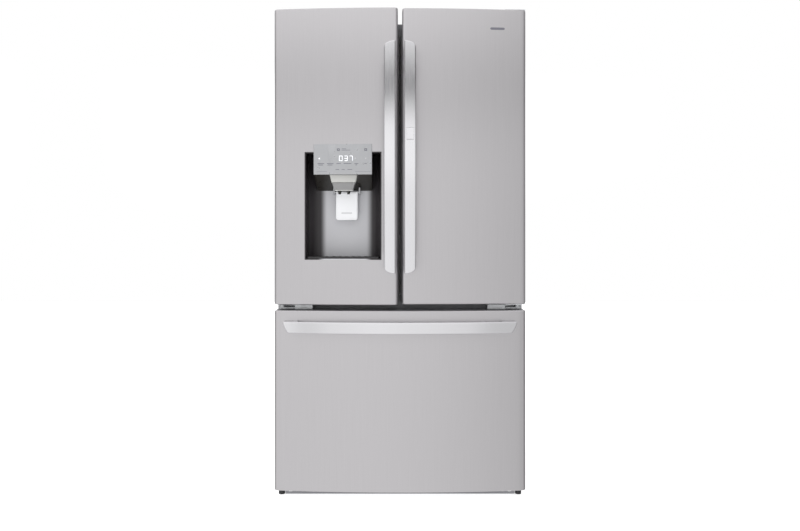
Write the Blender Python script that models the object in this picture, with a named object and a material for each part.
"""A 36 inch French door refrigerator: two doors over a freezer drawer, an ice and water dispenser in the left
door and a door-in-door on the right.

+X is the viewer's right, the doors face -Y, +Z is up and the floor is z = 0. Lengths are in millimetres and
angles in degrees; make_object() turns millimetres into Blender's metres.
"""

import math

import bmesh
import bpy
from mathutils import Matrix, Vector

MM = 0.001

# Outside sizes
HALF_WIDTH = 454.0
BACK = 460.5
CASE_DEPTH = 746.0
CASE_FRONT = BACK - CASE_DEPTH
DOOR_FRONT = BACK - 857.0
HANDLE_REACH = 64.0
BOW = 28.0
CASE_TOP = 1737.0
HINGE_TOP = 1772.0
CASE_SIDE = 452.0
CASE_BOTTOM = 28.3
SHEET = 2.0
CLEAR = 0.3

# Doors and drawer
DOOR_TOP = 1770.0
DOOR_BOTTOM = 703.0
DRAWER_TOP = 683.0
DRAWER_BOTTOM = 31.0
DOOR_BACK = -297.5
GAP_HALF = 8.0
EDGE_ROUND = 9.0
LINER_PLATE = 3.7
GASKET = (DOOR_BACK + CLEAR, CASE_FRONT - CLEAR)
GASKET_WIDTH = 12.0
GASKET_OUTER = 428.0
GASKET_LIP = (2.0, 32.0)

# Compartments, inside their liners
LINER = 3.2
ROOM_SIDE = 412.0
FRIDGE_ROOM = (735.0, 1690.0)
FREEZER_ROOM = (95.0, 655.0)
ROOM_BACK = 400.0
STEP_BACK = 190.0
STEP_TOP = 330.0
MACHINE_FRONT = 202.0
MACHINE_TOP = 303.0

# Hinges
LEG_X = 436.0
LEG_Y = -300.0
FLAP_X = -31.0
FLAP_Y = -272.5
HINGE_X = 430.0
HINGE_Y = -330.0
PIN = 5.0
PIN_HOLE = 5.4
NOTCH_FLOOR = 1733.0

# Door-in-door
INNER_FRONT = -339.0
OUTER_BACK = -345.0
DID_X = 440.0
DID_Y = -363.0
STRAP = 2.0

# Dispenser, in the left door
RECESS_X = (-339.5, -70.0)
RECESS_Z = (869.0, 1249.0)
RECESS_BACK = -272.0
HOUSING_WALL = 3.5
PANEL_X = (-310.5, -100.0)
PANEL_Z = (1171.6, 1280.5)
CHUTE_X = -204.0
CHUTE_Y = -345.0
PADDLE_X = (-236.0, -156.0)
PADDLE_AXIS = (-305.0, 1112.0)

# Handles
HANDLE_X = (15.9, 56.4)
HANDLE_Z = (818.0, 1640.0)
HANDLE_THICK = 15.0
HANDLE_FOOT = 46.0
HANDLE_ROUND = 3.0
DRAWER_HANDLE_Z = (606.0, 647.0)
DRAWER_HANDLE_HALF = 418.0
DRAWER_HANDLE_NARROW = 0.955
BUTTON_X = (23.5, 48.5)
BUTTON_Z = (1290.0, 1330.0)

PARTS = "french_door_refrigerator"
CUTTERS = "cutters"


# ---------------------------------------------------------------- shapes


def along(axis, u, v, w):
    """The point at (u, v) in the plane across the axis, and w along it."""
    return {"X": (w, u, v), "Y": (u, w, v), "Z": (u, v, w)}[axis]


def make_object(name, points, faces):
    """A mesh object from millimetre points, its faces turned outwards."""
    mesh = bpy.data.meshes.new(name)
    mesh.from_pydata([[c * MM for c in p] for p in points], [], faces)
    shape = bmesh.new()
    shape.from_mesh(mesh)
    bmesh.ops.recalc_face_normals(shape, faces=shape.faces)
    shape.to_mesh(mesh)
    shape.free()
    return bpy.data.objects.new(name, mesh)


def loops_object(name, loops, closed=False):
    """A solid skinned over loops of equal length. An open run is capped at both ends."""
    count = len(loops[0])
    points = [p for loop in loops for p in loop]
    faces = []
    for i in range(len(loops) if closed else len(loops) - 1):
        a = i * count
        b = (i + 1) % len(loops) * count
        for k in range(count):
            n = (k + 1) % count
            faces.append((a + k, a + n, b + n, b + k))
    if not closed:
        faces.append(tuple(range(count)))
        faces.append(tuple(range(len(points) - count, len(points))))
    return make_object(name, points, faces)


def prism(name, axis, outline, low, high, top=None):
    """An outline drawn out along an axis. A second outline at the top tapers it."""
    lower = [along(axis, u, v, low) for u, v in outline]
    upper = [along(axis, u, v, high) for u, v in top or outline]
    return loops_object(name, [lower, upper])


def rectangle(a, b, inset=0.0):
    return [
        (a[0] + inset, b[0] + inset),
        (a[1] - inset, b[0] + inset),
        (a[1] - inset, b[1] - inset),
        (a[0] + inset, b[1] - inset),
    ]


def box(name, x, y, z):
    return prism(name, "Z", rectangle(x, y), *z)


def rect_sweep(name, axis, a, b, profile, closed=False):
    """A profile of (inset, height) points carried round a rectangle: tubs, shelves and gaskets."""
    loops = [[along(axis, u, v, w) for u, v in rectangle(a, b, inset)] for inset, w in profile]
    return loops_object(name, loops, closed)


def tub(name, x, y, z, wall, draft=0.0):
    """A tray open at the top, narrower at the bottom by the draft."""
    return rect_sweep(
        name,
        "Z",
        x,
        y,
        [(draft, z[0]), (0, z[1]), (wall, z[1]), (wall + draft, z[0] + wall)],
    )


def rimmed_tub(name, x, y, z, wall, draft, rim, rim_height):
    """A tub with a flange round its top edge."""
    return rect_sweep(
        name,
        "Z",
        x,
        y,
        [
            (rim + draft, z[0]),
            (rim, z[1] - rim_height),
            (0, z[1] - rim_height),
            (0, z[1]),
            (rim + wall, z[1]),
            (rim + wall + draft, z[0] + wall),
        ],
    )


def ring(name, x, z, y, width):
    """A rectangular frame facing the front."""
    return rect_sweep(
        name, "Y", x, z, [(0, y[0]), (0, y[1]), (width, y[1]), (width, y[0])], closed=True
    )


def lathe(name, axis, centre, profile, segments=20):
    """A profile of (radius, position) turned about an axis through the centre (u, v)."""
    loops = []
    for radius, w in profile:
        turn = [2 * math.pi * k / segments for k in range(segments)]
        loops.append(
            [
                along(axis, centre[0] + radius * math.cos(t), centre[1] + radius * math.sin(t), w)
                for t in turn
            ]
        )
    return loops_object(name, loops)


def cylinder(name, axis, centre, radius, low, high, segments=20):
    return lathe(name, axis, centre, [(radius, low), (radius, high)], segments)


def lattice(name, axis, us, vs, holes, low, high):
    """A plate cut up by grid lines us and vs, with the cells named in holes left open."""
    wide, tall = len(us) - 1, len(vs) - 1
    solid = {(i, j) for i in range(wide) for j in range(tall)} - set(holes)
    index, points, faces = {}, [], []

    def corner(i, j, level):
        key = (i, j, level)
        if key not in index:
            index[key] = len(points)
            points.append(along(axis, us[i], vs[j], high if level else low))
        return index[key]

    for i, j in sorted(solid):
        square = [(i, j), (i + 1, j), (i + 1, j + 1), (i, j + 1)]
        beyond = [(i, j - 1), (i + 1, j), (i, j + 1), (i - 1, j)]
        for level in (0, 1):
            faces.append([corner(*p, level) for p in square])
        for k, neighbour in enumerate(beyond):
            if neighbour not in solid:
                p, q = square[k], square[(k + 1) % 4]
                faces.append([corner(*p, 0), corner(*q, 0), corner(*q, 1), corner(*p, 1)])
    return make_object(name, points, faces)


def slotted_lines(low, high, margin, count, share):
    """Grid lines with count openings between two margins, each taking its share of a pitch."""
    pitch = (high - low - 2 * margin) / count
    lines = [low]
    for i in range(count):
        start = low + margin + i * pitch + pitch * (1 - share) / 2
        lines += [start, start + pitch * share]
    return lines + [high]


def vent(name, axis, u, v, w, columns, rows, margin, share=0.6):
    """A plate with columns by rows of openings."""
    us = slotted_lines(*u, margin, columns, share)
    vs = slotted_lines(*v, margin, rows, share)
    holes = [(2 * i + 1, 2 * j + 1) for i in range(columns) for j in range(rows)]
    return lattice(name, axis, us, vs, holes, *w)


def comb(name, x, y, z, teeth, spine):
    """A block of upright fins joined by a spine at the bottom."""
    pitch = (x[1] - x[0]) / (teeth - 0.5)
    outline = [(x[0], z[0]), (x[1], z[0]), (x[1], z[1])]
    for k in range(teeth - 1):
        right = x[1] - k * pitch - pitch / 2
        outline += [(right, z[1]), (right, z[0] + spine)]
        outline += [(right - pitch / 2, z[0] + spine), (right - pitch / 2, z[1])]
    outline.append((x[0], z[1]))
    return prism(name, "Y", outline, *y)


def link_tool(tool):
    bpy.data.collections[CUTTERS].objects.link(tool)
    tool.hide_render = True
    tool.display_type = "WIRE"


def combine(target, operation, tools):
    for tool in tools:
        link_tool(tool)
        step = target.modifiers.new(tool.name, "BOOLEAN")
        step.operation = operation
        step.solver = "EXACT"
        step.object = tool
    return target


def cut(target, *tools):
    return combine(target, "DIFFERENCE", tools)


def add(target, *tools):
    return combine(target, "UNION", tools)


def sided(side, low, high):
    """A span on the right of the middle, mirrored for side -1."""
    return tuple(sorted((side * low, side * high)))


# ---------------------------------------------------------------- finishes

WHITE_PLASTIC = ((0.86, 0.87, 0.88), 0.0, 0.4)
STEEL = ((0.60, 0.58, 0.60), 1.0, 0.32)
HANDLE_STEEL = ((0.72, 0.71, 0.73), 1.0, 0.25)
CASE_GREY = ((0.33, 0.33, 0.35), 0.1, 0.5)
DARK_RUBBER = ((0.05, 0.05, 0.055), 0.0, 0.7)
BLACK_GLOSS = ((0.01, 0.01, 0.012), 0.0, 0.12)
SILVER_PLASTIC = ((0.55, 0.55, 0.57), 0.3, 0.3)
CLEAR_PLASTIC = ((0.85, 0.89, 0.92), 0.0, 0.1)
FROSTED = ((0.88, 0.89, 0.90), 0.0, 0.3)
GALVANISED = ((0.55, 0.56, 0.57), 0.9, 0.45)
FOAM = ((0.80, 0.74, 0.55), 0.0, 0.9)
BLACK_PAINT = ((0.02, 0.02, 0.02), 0.0, 0.4)
COPPER = ((0.72, 0.40, 0.25), 1.0, 0.35)
ALUMINIUM = ((0.75, 0.76, 0.77), 1.0, 0.35)
GREY_PLASTIC = ((0.38, 0.38, 0.40), 0.0, 0.45)


def keep(obj, look, pivot=None):
    """Makes the object one of the refrigerator's pieces, hung on the empty of its joint."""
    colour, metallic, roughness = look
    material = bpy.data.materials.new(obj.name)
    material.use_nodes = True
    shader = material.node_tree.nodes["Principled BSDF"]
    shader.inputs["Base Color"].default_value = (*colour, 1)
    shader.inputs["Metallic"].default_value = metallic
    shader.inputs["Roughness"].default_value = roughness
    obj.data.materials.append(material)
    bpy.data.collections[PARTS].objects.link(obj)
    if pivot:
        obj.parent = pivot
        obj.matrix_parent_inverse = Matrix.Translation(-world_of(pivot))
    return obj


def world_of(empty):
    """Where an empty stands, which holds no turn or scale."""
    place = empty.location.copy()
    while empty.parent:
        empty = empty.parent
        place += empty.location
    return place


def make_pivot(name, point, parent=None):
    """An empty on a joint's axis. Its location is measured from its parent's."""
    empty = bpy.data.objects.new(name, None)
    empty.empty_display_size = 0.05
    bpy.data.collections[PARTS].objects.link(empty)
    place = Vector(point) * MM
    if parent:
        empty.parent = parent
        place -= world_of(parent)
    empty.location = place
    return empty


# ---------------------------------------------------------------- the bowed front


def front_y(x):
    """The front skin in plan: the doors and the drawer bow out towards the middle."""
    return DOOR_FRONT + BOW * (x / HALF_WIDTH) ** 2


def bowed_outline(x, back, proud=0.0, rounds=(EDGE_ROUND, EDGE_ROUND), steps=8):
    """The plan of a block with rounded front corners, its front proud of the bow by a distance."""
    left, right = x
    shares = (0.0, 0.13, 0.5, 1.0)
    xs = [left + rounds[0] * s for s in shares] if rounds[0] else [left]
    inner = (xs[-1], right - rounds[1])
    xs += [inner[0] + (inner[1] - inner[0]) * k / steps for k in range(1, steps)]
    xs += [right - rounds[1] * s for s in reversed(shares)] if rounds[1] else [right]

    def drop(gap, radius):
        if gap >= radius:
            return 0.0
        return radius - math.sqrt(radius**2 - (radius - gap) ** 2)

    front = [
        (u, front_y(u) - proud + drop(u - left, rounds[0]) + drop(right - u, rounds[1])) for u in xs
    ]
    return front + [(right, back), (left, back)]


def bowed_block(name, x, z, back, **shape):
    return prism(name, "Z", bowed_outline(x, back, **shape), *z)


def hinge_notch(name, side):
    """Room over a door's hinge corner for the arm that carries the door's pin."""
    return box(name, sided(side, 395, 470), (-362, -280), (NOTCH_FLOOR, DOOR_TOP + 5))


def pin_holes(name, side):
    """Sockets in a door's ends for the upper and the lower hinge pin."""
    centre = (side * HINGE_X, HINGE_Y)
    return (
        cylinder(name + "_top_socket", "Z", centre, PIN_HOLE, 1708, NOTCH_FLOOR + 5, 16),
        cylinder(name + "_low_socket", "Z", centre, PIN_HOLE, DOOR_BOTTOM - 5, 726, 16),
    )


# ---------------------------------------------------------------- cabinet


def cabinet():
    case = box("outer_case", (-CASE_SIDE, CASE_SIDE), (CASE_FRONT, BACK - 2.5), (CASE_BOTTOM, CASE_TOP))
    inside = CASE_SIDE - SHEET
    opening = ROOM_SIDE + LINER + CLEAR
    cut(
        case,
        box("case_inside", (-inside, inside), (CASE_FRONT + SHEET, BACK + 10), (0, CASE_TOP - SHEET)),
        *[
            box(
                "case_opening",
                (-opening, opening),
                (CASE_FRONT - 10, CASE_FRONT + 10),
                (room[0] - LINER - CLEAR, room[1] + LINER + CLEAR),
            )
            for room in (FRIDGE_ROOM, FREEZER_ROOM)
        ],
    )
    keep(case, CASE_GREY)

    back_face = (BACK - 2.2, BACK)
    keep(box("back_panel", (-450, 450), back_face, (305, 1735)), GALVANISED)
    cover = vent("machine_cover", "Y", (-450, 450), (30, 303), back_face, 16, 3, 40)
    keep(cover, GALVANISED)

    foam = box(
        "cabinet_foam",
        (-inside + CLEAR, inside - CLEAR),
        (CASE_FRONT + SHEET + CLEAR, BACK - 2.5),
        (CASE_BOTTOM + CLEAR, CASE_TOP - SHEET - CLEAR),
    )
    gap = LINER + CLEAR
    cavity = (-ROOM_SIDE - gap, ROOM_SIDE + gap)
    cut(
        foam,
        box(
            "fridge_space",
            cavity,
            (CASE_FRONT - 5, ROOM_BACK + gap),
            (FRIDGE_ROOM[0] - gap, FRIDGE_ROOM[1] + gap),
        ),
        prism("freezer_space", "X", freezer_outline(gap), *cavity),
        box("machine_room", (-460, 460), (MACHINE_FRONT - 4, BACK + 5), (0, MACHINE_TOP)),
    )
    keep(foam, FOAM)
    fridge_liner()
    freezer_liner()
    base()


def freezer_outline(grow):
    """The freezer room from the side. The machine room takes its lower back corner."""
    low, high = FREEZER_ROOM
    return [
        (CASE_FRONT, low - grow),
        (STEP_BACK + grow, low - grow),
        (STEP_BACK + grow, STEP_TOP - grow),
        (ROOM_BACK + grow, STEP_TOP - grow),
        (ROOM_BACK + grow, high + grow),
        (CASE_FRONT, high + grow),
    ]


def fridge_liner():
    side = ROOM_SIDE + LINER
    liner = box(
        "fridge_liner",
        (-side, side),
        (CASE_FRONT, ROOM_BACK + LINER),
        (FRIDGE_ROOM[0] - LINER, FRIDGE_ROOM[1] + LINER),
    )
    cut(liner, box("fridge_room", (-ROOM_SIDE, ROOM_SIDE), (CASE_FRONT - 9, ROOM_BACK), FRIDGE_ROOM))
    ledges = [
        box("crisper_side", sided(s, 381, ROOM_SIDE + 1), (-150, 300), (745, 925)) for s in (-1, 1)
    ]
    for s, name, low in (
        (-1, "left", 1473),
        (1, "right", 1433),
        (-1, "mid_left", 1193),
        (1, "mid_right", 1193),
    ):
        ledges.append(
            box(f"{name}_ledge", sided(s, 396, ROOM_SIDE + 1), (-50, 330), (low, low + 6.7))
        )
    filter_mount = box("filter_mount", (290, 370), (230, ROOM_BACK + 1), (1600, 1691))
    add(liner, *ledges, filter_mount)
    keep(liner, WHITE_PLASTIC)


def freezer_liner():
    side = ROOM_SIDE + LINER
    liner = prism("freezer_liner", "X", freezer_outline(LINER), -side, side)
    hollow = freezer_outline(0)
    hollow[0] = (CASE_FRONT - 9, hollow[0][1])
    hollow[-1] = (CASE_FRONT - 9, hollow[-1][1])
    cut(liner, prism("freezer_room", "X", hollow, -ROOM_SIDE, ROOM_SIDE))
    for s in (-1, 1):
        add(liner, box("tray_ledge", sided(s, 395, ROOM_SIDE + 1), (-250, 320), (548, 555.7)))
    keep(liner, WHITE_PLASTIC)


def base():
    plate = box("base_plate", (-450, 450), (-314, BACK - 3), (24, 28))
    for s in (-1, 1):
        cut(plate, box("roller_slot", sided(s, 368.5, 391.5), (379, 421), (20, 32)))
        cut(plate, cylinder("leg_hole", "Z", (s * LEG_X, LEG_Y), 5.4, 20, 32, 16))
        for inner in (365.5, 391.5):
            add(plate, box("roller_lug", sided(s, inner, inner + 3), (388, 412), (9, 26)))
            cut(plate, cylinder("axle_hole", "X", (400, 18), 3.4, s * (inner - 1), s * (inner + 4), 12))
    fan_post = box("fan_post", (18, 34), (318, 342), (26, 152))
    pan = rect_sweep(
        "drain_pan", "Z", (70, 330), (225, 425), [(0, 26), (0, 50), (2.5, 50), (2.5, 30)]
    )
    add(plate, fan_post, pan)
    cut(plate, cylinder("fan_bearing", "X", (330, 140), 4.4, 10, 40, 12))
    keep(plate, GALVANISED)

    grille = vent("base_grille", "Y", (-421, 421), (4, 29.5), (-317.5, -314.5), 30, 1, 5, 0.5)
    keep(grille, GREY_PLASTIC)

    for s, side_name in ((-1, "left"), (1, "right")):
        leg = lathe(
            f"{side_name}_leg",
            "Z",
            (s * LEG_X, LEG_Y),
            [(11, 0), (12, 2), (12, 21), (9, 23.5), (5, 23.5), (5, 27.9)],
        )
        turn = make_pivot(f"{side_name}_leg_axis", (s * LEG_X, LEG_Y, 0))
        keep(leg, DARK_RUBBER, turn)
        roller = lathe(
            f"{side_name}_roller",
            "X",
            (400, 18),
            [
                (3, s * 380 - 14.5),
                (3, s * 380 - 9.5),
                (16.5, s * 380 - 9.5),
                (18, s * 380 - 8),
                (18, s * 380 + 8),
                (16.5, s * 380 + 9.5),
                (3, s * 380 + 9.5),
                (3, s * 380 + 14.5),
            ],
            24,
        )
        turn = make_pivot(f"{side_name}_roller_axis", (s * 380, 400, 18))
        keep(roller, DARK_RUBBER, turn)




def hinges():
    for s, side_name in ((-1, "left"), (1, "right")):
        centre = (s * HINGE_X, HINGE_Y)
        top = prism(
            f"{side_name}_top_hinge",
            "Z",
            rectangle(sided(s, 385, 450), (-283, -140)),
            CASE_TOP + CLEAR,
            HINGE_TOP,
            rectangle(sided(s, 389, 447), (-279, -146)),
        )
        add(
            top,
            box(
                "hinge_arm", sided(s, HINGE_X - 16, HINGE_X + 16), (HINGE_Y, -270), (CASE_TOP + CLEAR, 1764)
            ),
            cylinder("hinge_nose", "Z", centre, 16.5, CASE_TOP + CLEAR, 1764.6, 24),
            cylinder("hinge_pin", "Z", centre, PIN, 1712, 1745, 16),
        )
        keep(top, SILVER_PLASTIC)

        low = box(f"{side_name}_low_hinge", sided(s, 318.7, 442), (-345, CASE_FRONT - CLEAR), (687, 691))
        add(
            low,
            box("hinge_block", sided(s, 318.7, 382.6), (-343, -305), (684.5, 701.5)),
            box("hinge_flange", sided(s, 318.7, 435), (-290, CASE_FRONT - CLEAR), (684.5, 701)),
            cylinder("hinge_washer", "Z", centre, 12, 690, 700, 20),
            cylinder("low_pin", "Z", centre, PIN, 690, 722, 16),
        )
        keep(low, GALVANISED)


# ---------------------------------------------------------------- inside the refrigerator


def shelf(name, x, y, top):
    """A glass plate held in a moulded rim."""
    rim = 11
    profile = [(rim, top - 9), (rim, top - 13), (0, top - 13), (0, top), (rim, top), (rim, top - 2.5)]
    return rect_sweep(name, "Z", x, y, profile)


def crisper(name, side, pivot):
    """A produce drawer with a sloped pull along its front."""
    x = sided(side, 9, 378)
    body = tub(name, x, (-110, 292), (741, 935), 3, 7)
    pull = prism(
        name + "_pull",
        "X",
        [(-107, 899), (-131, 912), (-131, 931), (-125, 931), (-123, 916), (-107, 907)],
        x[0] + 4,
        x[1] - 4,
    )
    keep(add(body, pull), CLEAR_PLASTIC, pivot)


def fridge_inside(pivots):
    duct = vent("air_duct", "Y", (-95, 95), (1000, 1660), (372, ROOM_BACK - CLEAR), 2, 5, 14, 0.5)
    keep(duct, WHITE_PLASTIC)
    keep(shelf("left_shelf", (-406, -5), (-50, 365), 1493), FROSTED)
    keep(shelf("right_shelf", (5, 406), (-130, 365), 1453), FROSTED)
    keep(shelf("middle_shelf", (-406, 406), (-130, 365), 1213), FROSTED)
    cover = shelf("crisper_cover", (-406, 406), (-98, 365), 958)
    add(cover, box("crisper_divider", (-5, 5), (-98, 330), (737, 947)))
    keep(cover, FROSTED)
    crisper("crisper_left", -1, pivots["crisper_left"])
    crisper("crisper_right", 1, pivots["crisper_right"])

    filter_body = lathe(
        "water_filter",
        "Y",
        (330, 1645),
        [(22, 40), (27, 44), (27, 70), (30, 74), (30, 205), (22, 212), (10, 214), (10, 229.7)],
    )
    add(filter_body, box("filter_grip", (325, 335), (28, 60), (1622, 1668)))
    keep(filter_body, WHITE_PLASTIC, pivots["water_filter"])


def freezer_inside(pivots):
    us = [-408, -250, -190, -60, 60, 190, 250, 408]
    vs = [334, 360, 372, 520, 640, 652]
    holes = [(1, 1), (3, 1), (5, 1), (3, 3)]
    keep(lattice("evaporator_cover", "Y", us, vs, holes, 330, 334), WHITE_PLASTIC)
    keep(comb("evaporator", (-300, 300), (342, 396), (342, 500), 26, 10), ALUMINIUM)

    hub = cylinder("evaporator_fan", "Y", (0, 580), 16, 342, 372, 16)
    for k in range(5):
        add(hub, fan_blade(f"cold_blade_{k}", "Y", (0, 580), 357, 52, k * 72))
    keep(hub, GREY_PLASTIC, pivots["evaporator_fan"])

    channel = [
        (405, 440), (411.7, 440), (411.7, 476), (405, 476), (405, 470), (408.5, 470), (408.5, 446), (405, 446)
    ]  # fmt: skip
    for s, side_name in ((-1, "left"), (1, "right")):
        rail = prism(
            f"{side_name}_rail",
            "Y",
            [(s * u, v) for u, v in channel],
            -275,
            178,
        )
        keep(rail, GALVANISED)

    frame = box("drawer_frame", (-398, 398), (150, 158), (452, 460))
    for s in (-1, 1):
        add(
            frame,
            box("runner", sided(s, 397, 404), (DOOR_BACK + CLEAR, 165), (432, 470)),
            box("runner_ledge", sided(s, 387, 398), (-268, 160), (425, 429)),
            box("runner_web", sided(s, 397, 401), (-268, 160), (425, 440)),
        )
    keep(frame, GALVANISED, pivots["freezer_drawer"])

    basket = rimmed_tub("freezer_basket", (-396, 396), (-262, 166), (110, 433), 3, 10, 10, 3.6)
    keep(basket, WHITE_PLASTIC, pivots["freezer_drawer"])
    tray = rimmed_tub("freezer_tray", (-408, 408), (-255, 318), (484, 560), 3, 6, 22, 4)
    keep(tray, CLEAR_PLASTIC, pivots["freezer_tray"])


def fan_blade(name, axis, centre, middle, radius, turn, root=8):
    """A pitched blade from a fan's hub, drawn as a thin plate that leans along the axis."""
    angle = math.radians(turn)
    loops = []
    for reach, half in ((root, 7), (radius * 0.6, 13), (radius, 15)):
        loop = []
        for across, shift in ((-half, -9), (half, 7), (half, 9.5), (-half, -6.5)):
            u = centre[0] + reach * math.cos(angle) - across * math.sin(angle)
            v = centre[1] + reach * math.sin(angle) + across * math.cos(angle)
            loop.append(along(axis, u, v, middle + shift))
        loops.append(loop)
    return loops_object(name, loops)


def machine_room(pivots):
    can = lathe(
        "compressor",
        "Z",
        (-235, 330),
        [(60, 42), (84, 52), (92, 70), (92, 150), (84, 186), (62, 208), (30, 218)],
        24,
    )
    add(can, box("compressor_feet", (-335, -135), (240, 420), (36, 44)))
    for u in (-322, -148):
        for v in (254, 406):
            add(can, cylinder("compressor_mount", "Z", (u, v), 9, 28.3, 38, 12))
    add(can, cylinder("suction_stub", "Z", (-170, 330), 6, 120, 262, 12))
    keep(can, BLACK_PAINT)

    coil = comb("condenser", (90, 310), (245, 405), (52.5, 210), 18, 10)
    keep(add(coil, box("condenser_foot", (100, 300), (300, 350), (30.3, 56))), BLACK_PAINT)

    hub = cylinder("condenser_fan", "X", (330, 140), 18, -18, 8, 16)
    add(hub, cylinder("fan_shaft", "X", (330, 140), 4, 0, 30, 12))
    for k in range(5):
        add(hub, fan_blade(f"warm_blade_{k}", "X", (330, 140), -5, 68, k * 72))
    keep(hub, GREY_PLASTIC, pivots["condenser_fan"])


# ---------------------------------------------------------------- handles


def handle_reach(share):
    """How far a bar handle stands off at this share of its length: a slow bow."""
    return HANDLE_REACH * (0.80 + 0.20 * math.sin(math.pi * share))


def handle_stops(length):
    """Places along a bar handle, close together over its rounded tips and past its feet."""
    ends = [0.0, 0.3 * HANDLE_ROUND, HANDLE_ROUND, HANDLE_FOOT + 9]
    middle = [length * (0.12 + 0.095 * k) for k in range(9)]
    return ends + middle + [length - e for e in reversed(ends)]


def tip_drop(depth):
    """How far a bar's front is drawn back at this depth in from its tip."""
    if depth >= HANDLE_ROUND:
        return 0.0
    return HANDLE_ROUND - math.sqrt(HANDLE_ROUND**2 - (HANDLE_ROUND - depth) ** 2)


def bar_profile(low, high, face, thick, foot):
    """The side of a bar handle as (position, y): out along its front and back along its grip."""
    length = high - low
    outer = []
    for stop in handle_stops(length):
        drop = tip_drop(min(stop, length - stop))
        outer.append((low + stop, face(low + stop) - handle_reach(stop / length) + drop))
    grip = [(p, y + thick) for p, y in outer if low + foot < p < high - foot]
    feet = [
        (high, face(high) - CLEAR),
        (high - foot, face(high - foot) - CLEAR),
        *reversed(grip),
        (low + foot, face(low + foot) - CLEAR),
        (low, face(low) - CLEAR),
    ]
    return outer + feet


def door_handle(name, side):
    x = sided(side, *HANDLE_X)
    door_y = front_y(HANDLE_X[0])
    side_view = bar_profile(*HANDLE_Z, lambda z: door_y, HANDLE_THICK, HANDLE_FOOT)
    return prism(name, "X", [(y, z) for z, y in side_view], *x)


def drawer_handle():
    plan = bar_profile(-DRAWER_HANDLE_HALF, DRAWER_HANDLE_HALF, front_y, HANDLE_THICK, HANDLE_FOOT)
    lower = []
    for x, y in plan:
        moved = x * DRAWER_HANDLE_NARROW
        lower.append((moved, y - front_y(x) + front_y(moved)))
    return prism("freezer_handle", "Z", lower, *DRAWER_HANDLE_Z, plan)


# ---------------------------------------------------------------- left door


def door_gasket(name, side):
    """A door's seal, with a wide lip that darkens the gap between the doors."""
    us = sorted(side * u for u in (*GASKET_LIP, GASKET_OUTER - GASKET_WIDTH, GASKET_OUTER))
    vs = [709, 709 + GASKET_WIDTH, 1716 - GASKET_WIDTH, 1716]
    return lattice(name, "Y", us, vs, [(1, 1)], *GASKET)


def left_door(pivots):
    hung = pivots["left_door"]
    back = DOOR_BACK - LINER_PLATE - CLEAR
    body = bowed_block("left_door", (-HALF_WIDTH, -GAP_HALF), (DOOR_BOTTOM, DOOR_TOP), back)
    wall = HOUSING_WALL + CLEAR
    cut(
        body,
        hinge_notch("left_notch", -1),
        *pin_holes("left", -1),
        box(
            "recess_hole",
            (RECESS_X[0] - wall, RECESS_X[1] + wall),
            (-420, -290),
            (RECESS_Z[0] - wall, RECESS_Z[1] + wall),
        ),
    )
    keep(body, STEEL, hung)

    left_liner(hung)
    keep(door_gasket("left_gasket", -1), DARK_RUBBER, hung)
    keep(door_handle("left_handle", -1), HANDLE_STEEL, hung)
    keep(bin_for(-1, "left_bin"), CLEAR_PLASTIC, hung)

    x, y = FLAP_X, FLAP_Y
    flap = box("mullion_flap", (x - 9, x + 9), (y - 9, y + 64), (760, 1660))
    for name, z in (("flap_low_hole", (755, 772)), ("flap_top_hole", (1648, 1665))):
        cut(flap, cylinder(name, "Z", (x, y), 3.4, *z, 12))
    keep(flap, GREY_PLASTIC, pivots["mullion_flap"])




def left_liner(hung):
    plate_y = (DOOR_BACK - LINER_PLATE, DOOR_BACK)
    liner = box("left_door_liner", (-446, -14), plate_y, (711, 1725))
    into = DOOR_BACK - 0.1
    for x in ((-405, -393), (-60, -48)):
        add(liner, box("left_dyke", x, (into, -237.5), (740, 1353)))
    add(
        liner,
        box("ice_room", (-405, -48), (into, -162), (1352, 1685)),
        box("recess_bulge", (-349, -59), (into, -262), (859, 1291)),
        box("flap_lug_low", (-49, -25), (-279, -266), (752, 759.6)),
        box("flap_lug_top", (-49, -25), (-279, -266), (1660.4, 1668)),
        cylinder("flap_pin_low", "Z", (FLAP_X, FLAP_Y), 3, 756, 769, 12),
        cylinder("flap_pin_top", "Z", (FLAP_X, FLAP_Y), 3, 1651, 1664, 12),
    )
    cut(
        liner,
        box("ice_space", (-397, -56), (-292, -150), (1360, 1677)),
        box("recess_space", (-343.6, -65.9), (-320, RECESS_BACK + HOUSING_WALL + 0.5), (865, 1285)),
    )
    keep(liner, WHITE_PLASTIC, hung)


def bin_for(side, name):
    """A door shelf bin, deeper at the top."""
    x = sided(side, 61.5, 391.5)
    return rect_sweep(
        name, "Z", x, (DOOR_BACK + CLEAR, -203), [(5, 748), (0, 845), (2.6, 845), (7.6, 751)]
    )


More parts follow.
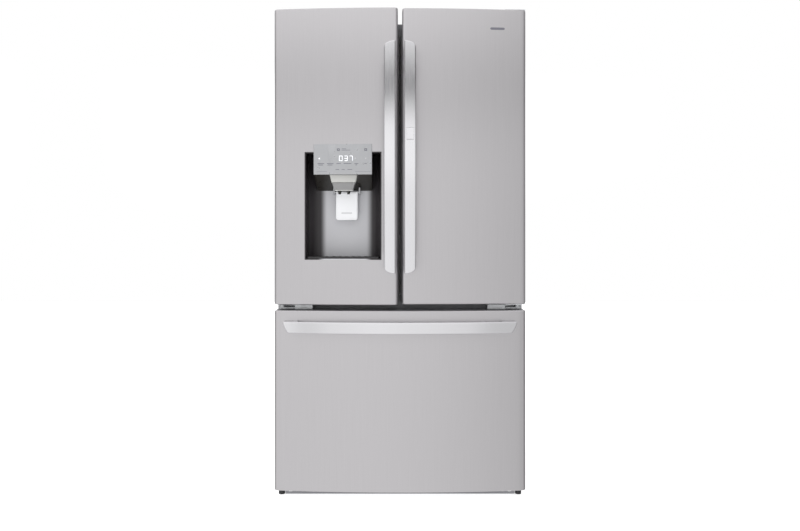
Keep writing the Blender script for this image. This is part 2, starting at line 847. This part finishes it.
def dispenser(pivots):
    hung = pivots["left_door"]
    wall = HOUSING_WALL
    shell = bowed_block(
        "dispenser_housing",
        (RECESS_X[0] - wall, RECESS_X[1] + wall),
        (RECESS_Z[0] - wall, RECESS_Z[1] + wall),
        RECESS_BACK + wall,
        proud=-0.8,
        rounds=(0, 0),
    )
    cut(shell, box("recess", RECESS_X, (-420, RECESS_BACK), RECESS_Z))
    add(shell, ceiling_block("ceiling", 0))
    for x in ((-246, -240), (-152, -146)):
        lug = box("paddle_lug", x, (-311, RECESS_BACK + 1), (1106, 1130))
        add(shell, cut(lug, cylinder("paddle_eye", "X", PADDLE_AXIS, 2.9, x[0] - 1, x[1] + 1, 12)))
    keep(shell, BLACK_GLOSS, hung)

    panel = bowed_block("control_panel", PANEL_X, PANEL_Z, -380, proud=3, rounds=(2, 2))
    behind = RECESS_Z[1] - CLEAR
    seat = bowed_block("panel_seat", (-330, -80), (behind, 1290), -360, proud=CLEAR, rounds=(0, 0))
    keep(cut(panel, seat), SILVER_PLASTIC, hung)

    chute = prism(
        "dispense_chute",
        "Z",
        rectangle((CHUTE_X - 33, CHUTE_X + 33), (CHUTE_Y - 18, CHUTE_Y + 18)),
        1116,
        1171,
        rectangle((CHUTE_X - 50, CHUTE_X + 50), (CHUTE_Y - 27, CHUTE_Y + 26)),
    )
    for u in (-16, 16):
        x = CHUTE_X + u
        add(chute, box("nozzle", (x - 6, x + 6), (CHUTE_Y + 6, CHUTE_Y + 15), (1103, 1118)))
    cut(
        chute,
        ceiling_block("chute_seat", CLEAR),
        cylinder("ice_mouth", "Z", (CHUTE_X, CHUTE_Y - 6), 11, 1090, 1145, 16),
    )
    keep(chute, FROSTED, hung)

    y, z = PADDLE_AXIS
    paddle = prism(
        "paddle",
        "Y",
        [
            (PADDLE_X[0] + 2, z + 4),
            (PADDLE_X[0] + 2, z - 90),
            (PADDLE_X[0] + 14, z - 102),
            (PADDLE_X[1] - 14, z - 102),
            (PADDLE_X[1] - 2, z - 90),
            (PADDLE_X[1] - 2, z + 4),
        ],
        y - 2.5,
        y + 2.5,
    )
    add(paddle, cylinder("paddle_pin", "X", (y, z), 2.5, PADDLE_X[0] - 8, PADDLE_X[1] + 8, 12))
    keep(paddle, FROSTED, pivots["paddle"])

    tray_z = (RECESS_Z[0] + CLEAR, 876)
    tray = bowed_block("drip_tray", (-335, -74.5), tray_z, -276, proud=-4, rounds=(6, 6))
    slots = [
        box("tray_slot", (-322 + 24 * k, -310 + 24 * k), (-366, -290), (871.5, 880)) for k in range(10)
    ]
    keep(cut(tray, *slots), BLACK_GLOSS, pivots["drip_tray"])


def ceiling_block(name, grow):
    """The sloping roof of the recess, behind the control panel."""
    front, back = -379.5 - grow, RECESS_BACK + 1
    roof = [(front, 1176 - grow), (back, 1119 - grow), (back, 1250), (front, 1250)]
    return prism(name, "X", roof, PANEL_X[0] + 2, PANEL_X[1] - 2)


def ice_maker(pivots):
    door = box("ice_room_door", (-403, -51), (-161.5, -153), (1354, 1683))
    add(door, box("ice_latch", (-402, -392), (-153.5, -146), (1490, 1550)))
    keep(door, WHITE_PLASTIC, pivots["ice_room_door"])
    ice_bin = tub("ice_bin", (-390, -63), (-286, -170), (1366, 1500), 3, 5)
    cut(ice_bin, cylinder("auger_hole", "Y", (-226, 1420), 8, -292, -275, 12))
    keep(ice_bin, CLEAR_PLASTIC, pivots["left_door"])
    auger = cylinder("ice_auger", "Y", (-226, 1420), 5, -289.5, -180, 12)
    for k in range(6):
        add(auger, fan_blade(f"auger_paddle_{k}", "Y", (-226, 1420), -265 + 15 * k, 38, 60 * k, 1))
    keep(auger, GALVANISED, pivots["ice_auger"])


# ---------------------------------------------------------------- right door


def right_door(pivots):
    inner_hung = pivots["right_door"]
    x = (GAP_HALF, HALF_WIDTH)
    inner = box("right_inner_door", x, (INNER_FRONT, DOOR_BACK), (DOOR_BOTTOM, DOOR_TOP))
    add(inner, box("pocket_walls", (52, 402), (DOOR_BACK - 1, -190), (775, 1682)))
    cut(
        inner,
        box("pocket", (60, 394), (INNER_FRONT - 5, -194), (783, 1674)),
        hinge_notch("right_notch", 1),
        *pin_holes("right", 1),
    )
    for z in ((DOOR_BOTTOM, DOOR_BOTTOM + STRAP), (DOOR_TOP - STRAP, DOOR_TOP)):
        add(inner, box("did_strap", (380, HALF_WIDTH - 0.5), (-367.6, INNER_FRONT + 2), z))
    for z in ((DOOR_BOTTOM + 1, 720), (1750, DOOR_TOP - 1)):
        add(inner, cylinder("did_pin", "Z", (DID_X, DID_Y), 3, *z, 12))
    for rib_x in ((59, 70), (384, 395)):
        add(inner, box("pocket_rib", rib_x, (-330, -193), (1250, 1256)))
    keep(inner, WHITE_PLASTIC, inner_hung)
    keep(door_gasket("right_inner_gasket", 1), DARK_RUBBER, inner_hung)
    for name, low in (("upper_bin", 1256.5), ("lower_bin", 783.5)):
        keep(pocket_bin(name, low), CLEAR_PLASTIC, inner_hung)

    hung = pivots["outer_door"]
    outer_z = (DOOR_BOTTOM + STRAP + 0.4, DOOR_TOP - STRAP - 0.4)
    outer = bowed_block("right_outer_door", x, outer_z, OUTER_BACK)
    cut(
        outer,
        box("outer_notch", (395, 470), (-362, -300), (NOTCH_FLOOR, DOOR_TOP + 5)),
        cylinder("did_low_socket", "Z", (DID_X, DID_Y), 3.4, 700, 724, 12),
        cylinder("did_top_socket", "Z", (DID_X, DID_Y), 3.4, 1746, 1780, 12),
    )
    keep(outer, STEEL, hung)
    seal = ring(
        "right_outer_gasket", (24, 424), (728, 1722), (OUTER_BACK + CLEAR, INNER_FRONT - CLEAR), 14
    )
    keep(seal, DARK_RUBBER, hung)
    handle = door_handle("right_handle", 1)
    pocket_x = (BUTTON_X[0] - 0.5, BUTTON_X[1] + 0.5)
    pocket_z = (BUTTON_Z[0] - 0.5, BUTTON_Z[1] + 0.5)
    cut(handle, box("button_pocket", pocket_x, (-480, -449), pocket_z))
    keep(handle, HANDLE_STEEL, hung)
    button = box("release_button", BUTTON_X, (-460.5, -453.5), BUTTON_Z)
    keep(button, HANDLE_STEEL, pivots["release_button"])


def pocket_bin(name, low):
    return tub(name, (60.5, 393.5), (-334, -194.5), (low, low + 95), 2.6)


# ---------------------------------------------------------------- freezer drawer


def freezer_door(pivots):
    hung = pivots["freezer_drawer"]
    wide, tall = (-HALF_WIDTH, HALF_WIDTH), (DRAWER_BOTTOM, DRAWER_TOP)
    front = bowed_block("freezer_door", wide, tall, DOOR_BACK, steps=14)
    keep(front, STEEL, hung)
    seal = ring("freezer_gasket", (-GASKET_OUTER, GASKET_OUTER), (72, 672), GASKET, GASKET_WIDTH)
    keep(seal, DARK_RUBBER, hung)
    keep(drawer_handle(), HANDLE_STEEL, hung)


# ---------------------------------------------------------------- assembly


def make_pivots():
    """An empty on each joint's axis, in the chain that carries it."""
    pivots = {
        "left_door": make_pivot("left_door_axis", (-HINGE_X, HINGE_Y, DOOR_BOTTOM)),
        "right_door": make_pivot("right_door_axis", (HINGE_X, HINGE_Y, DOOR_BOTTOM)),
        "freezer_drawer": make_pivot("freezer_drawer_axis", (0, CASE_FRONT, 450)),
        "freezer_tray": make_pivot("freezer_tray_axis", (0, CASE_FRONT, 556)),
        "crisper_left": make_pivot("crisper_left_axis", (-193, -165, 741)),
        "crisper_right": make_pivot("crisper_right_axis", (193, -165, 741)),
        "water_filter": make_pivot("water_filter_axis", (330, 40, 1645)),
        "evaporator_fan": make_pivot("evaporator_fan_axis", (0, 357, 580)),
        "condenser_fan": make_pivot("condenser_fan_axis", (-5, 330, 140)),
    }
    left, right = pivots["left_door"], pivots["right_door"]
    pivots["mullion_flap"] = make_pivot("mullion_flap_axis", (FLAP_X, FLAP_Y, 760), left)
    pivots["paddle"] = make_pivot("paddle_axis", (-196, *PADDLE_AXIS), left)
    pivots["drip_tray"] = make_pivot("drip_tray_axis", (-205, -385, 870), left)
    pivots["ice_room_door"] = make_pivot("ice_room_door_axis", (-53, -157, 1354), left)
    pivots["ice_auger"] = make_pivot("ice_auger_axis", (-226, -289, 1420), left)
    pivots["outer_door"] = make_pivot("outer_door_axis", (DID_X, DID_Y, DOOR_BOTTOM), right)
    pivots["release_button"] = make_pivot("release_button_axis", (36, -460.5, 1310), pivots["outer_door"])
    return pivots


def main():
    for obj in list(bpy.data.objects):
        bpy.data.objects.remove(obj)
    for name in (PARTS, CUTTERS):
        bpy.context.scene.collection.children.link(bpy.data.collections.new(name))
    pivots = make_pivots()
    cabinet()
    hinges()
    fridge_inside(pivots)
    freezer_inside(pivots)
    machine_room(pivots)
    left_door(pivots)
    dispenser(pivots)
    ice_maker(pivots)
    right_door(pivots)
    freezer_door(pivots)


main()
